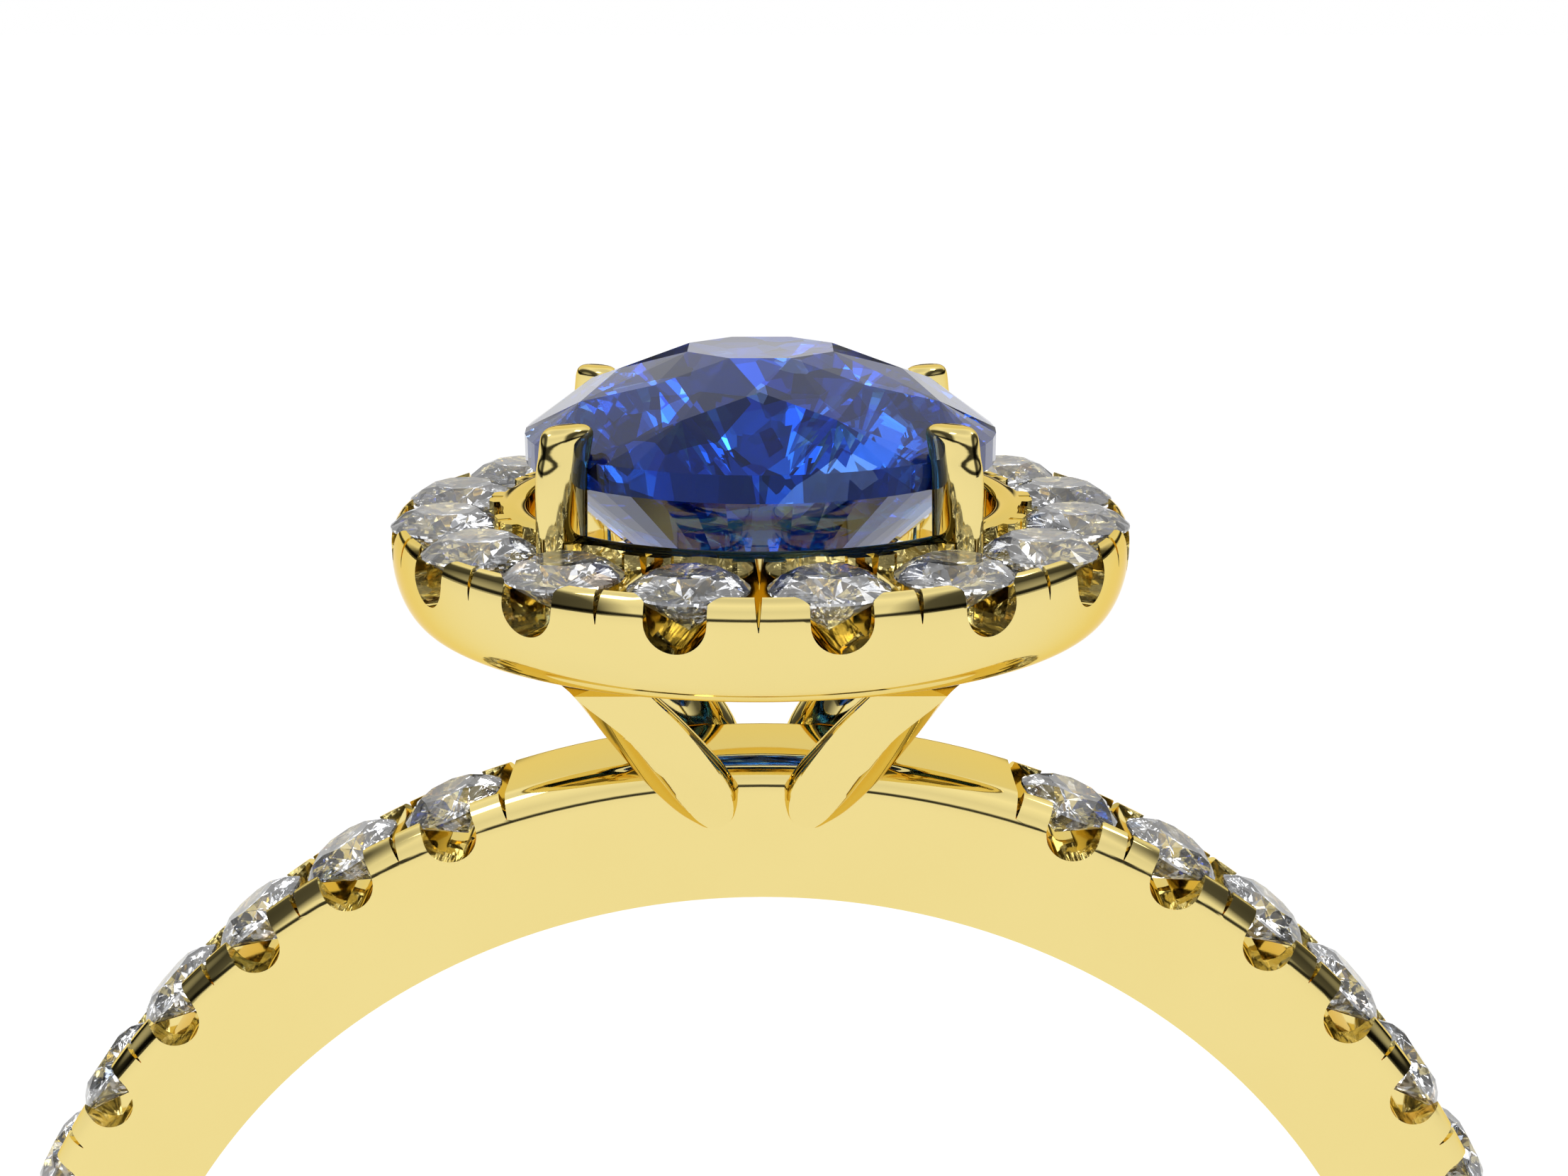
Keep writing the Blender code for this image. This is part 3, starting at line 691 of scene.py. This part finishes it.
class RING_OT_band(bpy.types.Operator):
    """Model the finger band with its channels, seats and cuts"""

    bl_idname = "ring.band"
    bl_label = "Finger band"
    bl_options = {"REGISTER", "UNDO"}

    def execute(self, context):
        sizes, band = context.scene.ring_setting, context.scene.ring_band
        run = 2 * (band.half_width + sizes.overcut)
        shank = ring_from_outline("polished_shank", band_outline(), band.steps, along_bore=True)
        quarter = Matrix.Rotation(math.pi / 2, 4, "Z")
        cut(shank, channel_cutter())
        slots = round_cutter(run, culet_depth() + BAND_CULET_ROOM * MM, "band_slots")
        cut(shank, repeat(slots, [band_place(angle, girdle_radius()) @ quarter for _, angle in band_stones()],
                          "band_slots"))
        splits = split_cutter(run, BAND_SPLIT_DEPTH * MM, 0.0, "band_splits")
        cut(shank, repeat(splits, [band_place(angle, band.radius) @ quarter for angle in band_split_angles()],
                          "band_splits"))
        cut(shank, repeat(seat_cutter("band_seats"),
                          [band_place(angle, girdle_radius()) for _, angle in band_stones()], "band_seats"))
        shade(shank)
        finish_piece(shank, gold_material(), "yellow_gold", "shank")
        return {"FINISHED"}


# ---------------------------------------------------------------- halo

def halo_outline():
    """Section of the halo, from the bottom edge up the outer wall and back inside."""
    scene = bpy.context.scene
    halo, sizes, stones = scene.ring_halo, scene.ring_setting, scene.ring_stones
    circle, girdle = stone_circle(), halo_girdle()
    outer_face = circle + stones.diamond_radius - halo.overhang
    inner_face = circle - stones.diamond_radius + halo.overhang
    floor = girdle - culet_depth() + sizes.channel_rise
    rim = halo.bottom + halo.height
    rail_edge = inner_face - halo.inner_wall
    inner_radius = rail_edge - halo.rail
    wall_top = halo.top - RAIL_ABOVE_WALL * MM
    widest = halo.bottom + 0.72 * halo.height
    bottom_radius = halo.radius - halo.tuck
    bowl = arc((bottom_radius, widest), halo.tuck, widest - halo.bottom, -90, 0, 18)
    lip = arc((outer_face, widest), halo.radius - outer_face, rim - widest, 12, 78, 7)
    rail_half = halo.rail / 2
    rail = arc((inner_radius + rail_half, halo.top - rail_half / 2), rail_half, rail_half / 2, 55, 180, 12)
    foot = halo.bottom + RAIL_FOOT * MM
    back = bottom_radius - HALO_UNDERSIDE * MM
    return (bowl + lip
            + [(outer_face, rim), (outer_face, floor), (inner_face, floor), (inner_face, wall_top),
               (rail_edge, wall_top)]
            + rail
            + [(inner_radius, foot), ((inner_radius + back) / 2, foot - 0.20 * MM), (back, halo.bottom)])


class RING_OT_halo(bpy.types.Operator):
    """Model the halo with its channel, seats, cuts and prong pockets"""

    bl_idname = "ring.halo"
    bl_label = "Halo"
    bl_options = {"REGISTER", "UNDO"}

    def execute(self, context):
        scene = context.scene
        halo, sizes, stones = scene.ring_halo, scene.ring_setting, scene.ring_stones
        ring = ring_from_outline("polished_halo", halo_outline(), halo.steps)
        rail_edge = stone_circle() - stones.diamond_radius + halo.overhang - halo.inner_wall
        run = halo.radius + sizes.overcut - rail_edge
        middle = rail_edge + run / 2
        angles = [angle for _, angle in halo_stones()]
        between = math.tau / len(angles) / 2
        slots = round_cutter(run, culet_depth() + HALO_CULET_ROOM * MM, "halo_slots")
        cut(ring, repeat(slots, [halo_place(angle, middle, halo_girdle()) for angle in angles], "halo_slots"))
        splits = split_cutter(run, HALO_SPLIT_DEPTH * MM, HALO_SPLIT_SLOPE * MM, "halo_splits")
        rim = halo.bottom + halo.height
        cut(ring, repeat(splits, [halo_place(angle + between, middle, rim) for angle in angles], "halo_splits"))
        cut(ring, repeat(seat_cutter("halo_seats"),
                         [halo_place(angle, stone_circle(), halo_girdle()) for angle in angles], "halo_seats"))
        for quarter in QUARTERS:
            cut(ring, prong_loft("pocket", quarter, sizes.clearance))
        shade(ring)
        finish_piece(ring, gold_material(), "yellow_gold", "halo")
        return {"FINISHED"}


# ---------------------------------------------------------------- prongs

def prong_oval(size):
    """Half widths along X and Y, and slant, of the prong's oval, which points at the stone."""
    long = size * PRONG_RADIAL_HALF * MM
    short = size * PRONG_ACROSS_HALF * MM
    half_y = math.sqrt((long ** 2 + short ** 2) / 2)
    slant = -(long ** 2 - short ** 2) / (long ** 2 + short ** 2)
    return half_y * math.sqrt(1 - slant ** 2), half_y, slant


def prong_stations():
    """Height, X, Y, half widths and slant of the prong's sections, from the leg's tip to the claw."""
    scene = bpy.context.scene
    band, halo, stones = scene.ring_band, scene.ring_halo, scene.ring_stones
    side = band.half_width
    tip = PRONG_BOX[0][2]
    top = PRONG_BOX[1][2]
    girdle = SAPPHIRE_BOX[1][2] - stones.sapphire_crown
    prong = (stones.sapphire_radius + PRONG_OUT * MM) / math.sqrt(2)
    claw = prong - CLAW_LEAN * MM
    slant = 0.50
    return [
        (tip, 0.65 * MM, side + 0.08 * MM, 0.12 * MM, 0.20 * MM, slant),
        (tip + 0.16 * MM, 0.70 * MM, side + 0.03 * MM, 0.34 * MM, 0.36 * MM, slant),
        (tip + 0.58 * MM, 0.90 * MM, side + 0.05 * MM, 0.54 * MM, 0.43 * MM, slant),
        (tip + 1.26 * MM, 1.36 * MM, side + 0.27 * MM, 0.53 * MM, 0.43 * MM, slant),
        (halo.bottom - KNEE_DROP * MM, prong - 0.44 * MM, prong - 0.74 * MM, 0.46 * MM, 0.42 * MM, 0.1),
        (halo.bottom - 0.20 * MM, prong - 0.11 * MM, prong - 0.21 * MM, *prong_oval(1.2)),
        (halo.bottom + 0.30 * MM, prong, prong, *prong_oval(1.0)),
        (girdle - stones.sapphire_girdle, prong, prong, *prong_oval(1.0)),
        (girdle + 0.10 * MM, claw + 0.03 * MM, claw + 0.03 * MM, *prong_oval(1.0)),
        (top - 0.10 * MM, claw, claw, *prong_oval(1.0)),
        (top - 0.02 * MM, claw, claw, *prong_oval(0.78)),
        (top, claw, claw, *prong_oval(0.45)),
    ]


def smooth_stations(stations, count):
    """Sections at even steps along a smooth curve through the stations."""
    smooth = []
    spans = len(stations) - 1
    for step in range(count + 1):
        spot = step * spans / count
        index = min(int(spot), spans - 1)
        share = spot - index
        near = [stations[max(index - 1, 0)], stations[index], stations[index + 1],
                stations[min(index + 2, spans)]]
        smooth.append([
            0.5 * (2 * b + (c - a) * share + (2 * a - 5 * b + 4 * c - d) * share ** 2
                   + (3 * b - a - 3 * c + d) * share ** 3)
            for a, b, c, d in zip(*near)])
    return smooth


def prong_loft(name, quarter, grow=0.0):
    """A cylinder cut into rings along its length, each ring moved to its section of the prong."""
    across, along = QUARTERS[quarter]
    sides, rings = 48, 66
    sections = smooth_stations(prong_stations(), rings)
    deselect()
    bpy.ops.mesh.primitive_cylinder_add(vertices=sides, radius=1.0, depth=1.0)
    prong = bpy.context.object
    prong.name = name
    subdivide_along(prong, 2, rings - 1)
    for vertex in prong.data.vertices:
        height, x, y, half_x, half_y, slant = sections[round((vertex.co.z + 0.5) * rings)]
        wide = (half_x + grow) * vertex.co.x
        out = (half_y + grow) * vertex.co.y
        vertex.co = (across * (x + wide - slant * out), along * (y + out), height)
    tidy_normals(prong)
    return prong


def file_cutter(along):
    """Everything beyond the flat filed face of a leg, on the front (-1) or the back (1)."""
    scene = bpy.context.scene
    halo, sizes = scene.ring_halo, scene.ring_setting
    tip = PRONG_BOX[0][2]
    lean = math.tan(math.radians(14.0))
    foot = scene.ring_band.half_width + LEG_PROUD * MM
    knee = halo.bottom - KNEE_DROP * MM
    prong_out = (scene.ring_stones.sapphire_radius + PRONG_OUT * MM) / math.sqrt(2) + PRONG_RADIAL_HALF * MM
    far = prong_out + 3 * sizes.overcut
    outline = [(foot - sizes.overcut * lean, tip - sizes.overcut), (foot + (knee - tip) * lean, knee),
               (prong_out + sizes.overcut / 3, halo.bottom), (far, halo.bottom), (far, tip - sizes.overcut)]
    deselect()
    bpy.ops.mesh.primitive_circle_add(vertices=len(outline), fill_type="NGON")
    block = bpy.context.object
    half = 2 * prong_out
    for vertex, (out, height) in zip(block.data.vertices, outline):
        vertex.co = (-half, along * out, height)
    bpy.ops.object.mode_set(mode="EDIT")
    bpy.ops.mesh.select_all(action="SELECT")
    bpy.ops.mesh.extrude_region_move(TRANSFORM_OT_translate={"value": (2 * half, 0, 0)})
    bpy.ops.object.mode_set(mode="OBJECT")
    tidy_normals(block)
    return block


class RING_OT_prongs(bpy.types.Operator):
    """Model the four prongs with their legs"""

    bl_idname = "ring.prongs"
    bl_label = "Prongs"
    bl_options = {"REGISTER", "UNDO"}

    def execute(self, context):
        clearance = context.scene.ring_setting.clearance
        for quarter, (_, along) in QUARTERS.items():
            prong = prong_loft("polished_prong_" + quarter, quarter)
            cut(prong, file_cutter(along))
            cut(prong, ring_from_outline("band_room", band_outline(clearance), BAND_STEPS, along_bore=True))
            cut(prong, sapphire_body("sapphire_room", clearance))
            shade(prong, 32.0)
            finish_piece(prong, gold_material(), "yellow_gold", "prong_" + quarter)
        return {"FINISHED"}


# ---------------------------------------------------------------- stones

def faceted(name, rings):
    """A stone as the hull of rings of corners: radius, height, corners, turn in corners."""
    deselect()
    corners = []
    for radius, height, count, turn in rings:
        for step in range(count):
            angle = (step + turn) * math.tau / count
            corners.append((radius * math.cos(angle), radius * math.sin(angle), height))
    bpy.ops.mesh.primitive_circle_add(vertices=len(corners), fill_type="NOTHING")
    stone = bpy.context.object
    stone.name = name
    for vertex, corner in zip(stone.data.vertices, corners):
        vertex.co = corner
    bpy.ops.object.mode_set(mode="EDIT")
    bpy.ops.mesh.select_all(action="SELECT")
    bpy.ops.mesh.convex_hull(join_triangles=False)
    bpy.ops.mesh.select_all(action="SELECT")
    bpy.ops.mesh.dissolve_limited(angle_limit=math.radians(0.6))
    bpy.ops.mesh.select_all(action="SELECT")
    bpy.ops.mesh.normals_make_consistent(inside=False)
    bpy.ops.object.mode_set(mode="OBJECT")
    bpy.ops.object.shade_flat()
    return stone


def diamond_rings():
    """Rings of corners of a small round brilliant, its girdle's middle at height 0."""
    stones = bpy.context.scene.ring_stones
    radius = stones.diamond_radius
    table = radius * 0.56
    top = stones.diamond_girdle / 2
    star = (table + radius) / 2
    lower = radius * 0.22
    half_step = math.cos(math.pi / 8)
    star_rise = (radius - star * half_step) * stones.diamond_crown / (radius - table)
    lower_fall = (radius - lower * half_step) * stones.diamond_pavilion / radius
    return [(table, top + stones.diamond_crown, 8, 0), (star, top + star_rise, 8, 0.5),
            (radius, top, 32, 0), (radius, -top, 32, 0), (lower, -top - lower_fall, 8, 0.5),
            (0.0, -culet_depth(), 1, 0)]


def sapphire_body(name, grow=0.0):
    """The centre stone in its place, grown by a clearance."""
    stones = bpy.context.scene.ring_stones
    radius = stones.sapphire_radius + grow
    girdle_top = SAPPHIRE_BOX[1][2] - stones.sapphire_crown
    top = girdle_top + grow
    low = girdle_top - stones.sapphire_girdle - grow
    tier = radius * 0.60
    star = (tier + radius) / 2
    lower = radius * 0.25
    half_step = math.cos(math.pi / 8)
    star_rise = (radius - star * half_step) * stones.sapphire_tier / (radius - tier)
    pavilion = girdle_top - stones.sapphire_girdle - SAPPHIRE_BOX[0][2]
    lower_fall = (radius - lower * half_step) * pavilion / radius
    return faceted(name, [
        (radius * 0.33, top + stones.sapphire_crown, 8, 0.5), (tier, top + stones.sapphire_tier, 8, 0),
        (star, top + star_rise, 8, 0.5), (radius, top, 48, 0), (radius, low, 48, 0),
        (lower, low - lower_fall, 8, 0.5), (0.0, low - pavilion, 1, 0)])


class RING_OT_sapphire(bpy.types.Operator):
    """Cut the centre stone"""

    bl_idname = "ring.sapphire"
    bl_label = "Centre stone"
    bl_options = {"REGISTER", "UNDO"}

    def execute(self, context):
        # the sapphire's blue, with painted light and shade in its shards
        material = stone_material("blue_shards_painted_light", SAPPHIRE_INDEX, SAPPHIRE_CLEARNESS, sapphire_levels(),
                                  (0.20, 0.30, 0.80), 1100.0, 2600.0)
        finish_piece(sapphire_body("cut_sapphire"), material, "sapphire", "centre_sapphire")
        return {"FINISHED"}


class RING_OT_diamonds(bpy.types.Operator):
    """Cut every small diamond and set it"""

    bl_idname = "ring.diamonds"
    bl_label = "Small diamonds"
    bl_options = {"REGISTER", "UNDO"}

    def execute(self, context):
        # the diamonds' painted light and shade, in shards
        material = stone_material("clear_shards_painted_light", DIAMOND_INDEX, DIAMOND_CLEARNESS, diamond_levels(),
                                  (0.7, 0.7, 0.7), 3600.0, 8000.0)
        pattern = faceted("diamond_pattern", diamond_rings())
        spots = [(node, halo_place(angle, stone_circle(), halo_girdle())) for node, angle in halo_stones()]
        spots += [(node, band_place(angle, girdle_radius())) for node, angle in band_stones()]
        for node, matrix in spots:
            stone = copy_of(pattern, "cut_" + node)
            place(stone, matrix)
            finish_piece(stone, material, "diamond", node)
        discard(pattern)
        return {"FINISHED"}


# ---------------------------------------------------------------- studio

def brightness_ramp(tree, levels, interpolation="LINEAR"):
    """A colour ramp of grey levels: (position, brightness)."""
    ramp = tree.nodes.new("ShaderNodeValToRGB")
    ramp.color_ramp.interpolation = interpolation
    ramp.color_ramp.elements[0].position = levels[0][0]
    ramp.color_ramp.elements[1].position = levels[-1][0]
    for position, _ in levels[1:-1]:
        ramp.color_ramp.elements.new(position)
    for element, (_, level) in zip(ramp.color_ramp.elements, levels):
        element.color = (level, level, level, 1.0)
    return ramp


def sparkle_nodes(tree, coordinates, scale):
    """Broken light in patches, which shows only in what the stones bend."""
    patches = tree.nodes.new("ShaderNodeTexVoronoi")
    patches.inputs["Scale"].default_value = scale
    levels = brightness_ramp(tree, [(0.0, 0.0), (0.40, 0.10), (0.58, 0.45), (0.72, 1.0), (0.88, 2.6)],
                             "CONSTANT")
    tree.links.new(coordinates, patches.inputs["Vector"])
    tree.links.new(patches.outputs["Color"], levels.inputs["Fac"])
    return levels.outputs["Color"]


def floor_material():
    """A plain pale floor; the stones bend broken light in place of it."""
    studio = bpy.context.scene.ring_studio
    material = bpy.data.materials.new("white_floor")
    material.use_nodes = True
    tree = material.node_tree
    shader = tree.nodes["Principled BSDF"]
    shader.inputs["Base Color"].default_value = (0.55, 0.55, 0.55, 1)
    shader.inputs["Roughness"].default_value = 0.9
    shader.inputs["Emission Color"].default_value = (1, 1, 1, 1)
    shader.inputs["Emission Strength"].default_value = studio.floor_glow
    where = tree.nodes.new("ShaderNodeTexCoord")
    broken = tree.nodes.new("ShaderNodeEmission")
    broken.inputs["Strength"].default_value = studio.sparkle
    path = tree.nodes.new("ShaderNodeLightPath")
    choose = tree.nodes.new("ShaderNodeMixShader")
    tree.links.new(sparkle_nodes(tree, where.outputs["Object"], 110.0), broken.inputs["Color"])
    tree.links.new(path.outputs["Is Transmission Ray"], choose.inputs["Fac"])
    tree.links.new(shader.outputs["BSDF"], choose.inputs[1])
    tree.links.new(broken.outputs["Emission"], choose.inputs[2])
    tree.links.new(choose.outputs["Shader"], tree.nodes["Material Output"].inputs["Surface"])
    return material


def studio_world():
    """A white studio with a dark gap above the horizon and dark slabs at both sides.

    Rays that pass through the stones meet broken light in its place.
    """
    studio = bpy.context.scene.ring_studio
    world = bpy.data.worlds.new("white_studio")
    bpy.context.scene.world = world
    world.use_nodes = True
    tree = world.node_tree
    link = tree.links.new
    where = tree.nodes.new("ShaderNodeTexCoord")
    parts = tree.nodes.new("ShaderNodeSeparateXYZ")
    height = tree.nodes.new("ShaderNodeMapRange")
    height.inputs["From Min"].default_value = -1.0
    walls = brightness_ramp(tree, [(0.0, 0.95), (0.505, 1.0), (0.52, 0.03), (0.55, 0.05), (0.575, 1.0),
                                   (0.70, 0.9), (0.86, 1.1), (0.97, 0.85), (1.0, 0.8)])
    sides = brightness_ramp(tree, [(0.0, 0.5), (0.05, 0.06), (0.13, 0.10), (0.20, 1.0), (0.80, 1.0),
                                   (0.87, 0.10), (0.95, 0.06), (1.0, 0.5)])
    across = tree.nodes.new("ShaderNodeMapRange")
    across.inputs["From Min"].default_value = -1.0
    room = tree.nodes.new("ShaderNodeMix")
    room.data_type = "RGBA"
    room.blend_type = "MULTIPLY"
    room.inputs[0].default_value = 1.0
    metal = tree.nodes["Background"]
    metal.inputs["Strength"].default_value = studio.sky
    stones = tree.nodes.new("ShaderNodeBackground")
    stones.inputs["Strength"].default_value = studio.sparkle
    plain = tree.nodes.new("ShaderNodeBackground")
    plain.inputs["Color"].default_value = (1, 1, 1, 1)
    path = tree.nodes.new("ShaderNodeLightPath")
    inside = tree.nodes.new("ShaderNodeMixShader")
    seen = tree.nodes.new("ShaderNodeMixShader")
    link(where.outputs["Generated"], parts.inputs["Vector"])
    link(parts.outputs["Z"], height.inputs["Value"])
    link(height.outputs["Result"], walls.inputs["Fac"])
    link(parts.outputs["X"], across.inputs["Value"])
    link(across.outputs["Result"], sides.inputs["Fac"])
    link(walls.outputs["Color"], room.inputs[6])
    link(sides.outputs["Color"], room.inputs[7])
    link(room.outputs[2], metal.inputs["Color"])
    link(sparkle_nodes(tree, where.outputs["Generated"], 2.6), stones.inputs["Color"])
    link(path.outputs["Is Transmission Ray"], inside.inputs["Fac"])
    link(metal.outputs["Background"], inside.inputs[1])
    link(stones.outputs["Background"], inside.inputs[2])
    link(path.outputs["Is Camera Ray"], seen.inputs["Fac"])
    link(inside.outputs["Shader"], seen.inputs[1])
    link(plain.outputs["Background"], seen.inputs[2])
    link(seen.outputs["Shader"], tree.nodes["World Output"].inputs["Surface"])


def softbox(name, spot, size, glow):
    """A square area light that faces the ring."""
    data = bpy.data.lights.new(name, "AREA")
    data.shape = "SQUARE"
    data.size = size
    data.energy = glow * math.pi * size ** 2
    light = bpy.data.objects.new(name, data)
    light.location = spot
    aim = Vector((0, 0, 0.012)) - Vector(spot)
    light.rotation_euler = aim.to_track_quat("-Z", "Y").to_euler()
    bpy.context.scene.collection.objects.link(light)


class RING_OT_studio(bpy.types.Operator):
    """Lay the floor, hang the lights and set the camera"""

    bl_idname = "ring.studio"
    bl_label = "Studio"
    bl_options = {"REGISTER", "UNDO"}

    def execute(self, context):
        scene = context.scene
        studio = scene.ring_studio
        deselect()
        bpy.ops.mesh.primitive_plane_add(size=studio.floor_size, location=(0, 0, CAD_BOX[0][2]))
        floor = context.object
        floor.name = "floor"
        floor.data.materials.append(floor_material())
        studio_world()
        softbox("top_left_light", (-0.10, -0.06, 0.16), 0.05, 4.0)
        softbox("top_right_light", (0.12, 0.05, 0.15), 0.04, 4.0)
        camera = bpy.data.cameras.new("camera")
        camera.sensor_width = 36.0
        camera.lens = studio.lens
        camera.clip_start = MM
        camera.clip_end = 10.0
        eye = bpy.data.objects.new("camera", camera)
        eye.matrix_world = (Matrix.Translation(studio.eye) @ Matrix.Rotation(studio.turn, 4, "Z")
                            @ Matrix.Rotation(math.pi / 2 - studio.pitch, 4, "X"))
        scene.collection.objects.link(eye)
        scene.camera = eye
        scene.view_settings.view_transform = "Standard"
        scene.cycles.blur_glossy = 0.0
        return {"FINISHED"}


# ---------------------------------------------------------------- panel and registration

class RING_PT_panel(bpy.types.Panel):
    """Buttons and settings for the ring"""

    bl_idname = "RING_PT_panel"
    bl_label = "Engagement Ring"
    bl_space_type = "VIEW_3D"
    bl_region_type = "UI"
    bl_category = "Ring"

    def draw(self, context):
        layout = self.layout
        for operator in OPERATORS:
            layout.operator(operator.bl_idname)
        for attribute, group in GROUPS.items():
            box = layout.box()
            box.label(text=group.__name__)
            for name in group.__annotations__:
                box.prop(getattr(context.scene, attribute), name)


GROUPS = {
    "ring_band": BandSizes,
    "ring_halo": HaloSizes,
    "ring_stones": StoneSizes,
    "ring_setting": SettingSizes,
    "ring_finish": Finish,
    "ring_studio": Studio,
}
OPERATORS = (RING_OT_band, RING_OT_halo, RING_OT_prongs, RING_OT_sapphire, RING_OT_diamonds, RING_OT_studio)


def register():
    """Add the classes and the scene's settings."""
    for item in (*GROUPS.values(), *OPERATORS, RING_PT_panel):
        bpy.utils.register_class(item)
    for attribute, group in GROUPS.items():
        setattr(bpy.types.Scene, attribute, PointerProperty(type=group))


def unregister():
    """Remove the classes and the scene's settings."""
    for attribute in GROUPS:
        delattr(bpy.types.Scene, attribute)
    for item in reversed((*GROUPS.values(), *OPERATORS, RING_PT_panel)):
        bpy.utils.unregister_class(item)


def main():
    """Build the whole ring and its studio."""
    register()
    bpy.ops.ring.band()
    bpy.ops.ring.halo()
    bpy.ops.ring.prongs()
    bpy.ops.ring.sapphire()
    bpy.ops.ring.diamonds()
    bpy.ops.ring.studio()


if __name__ == "__main__":
    main()
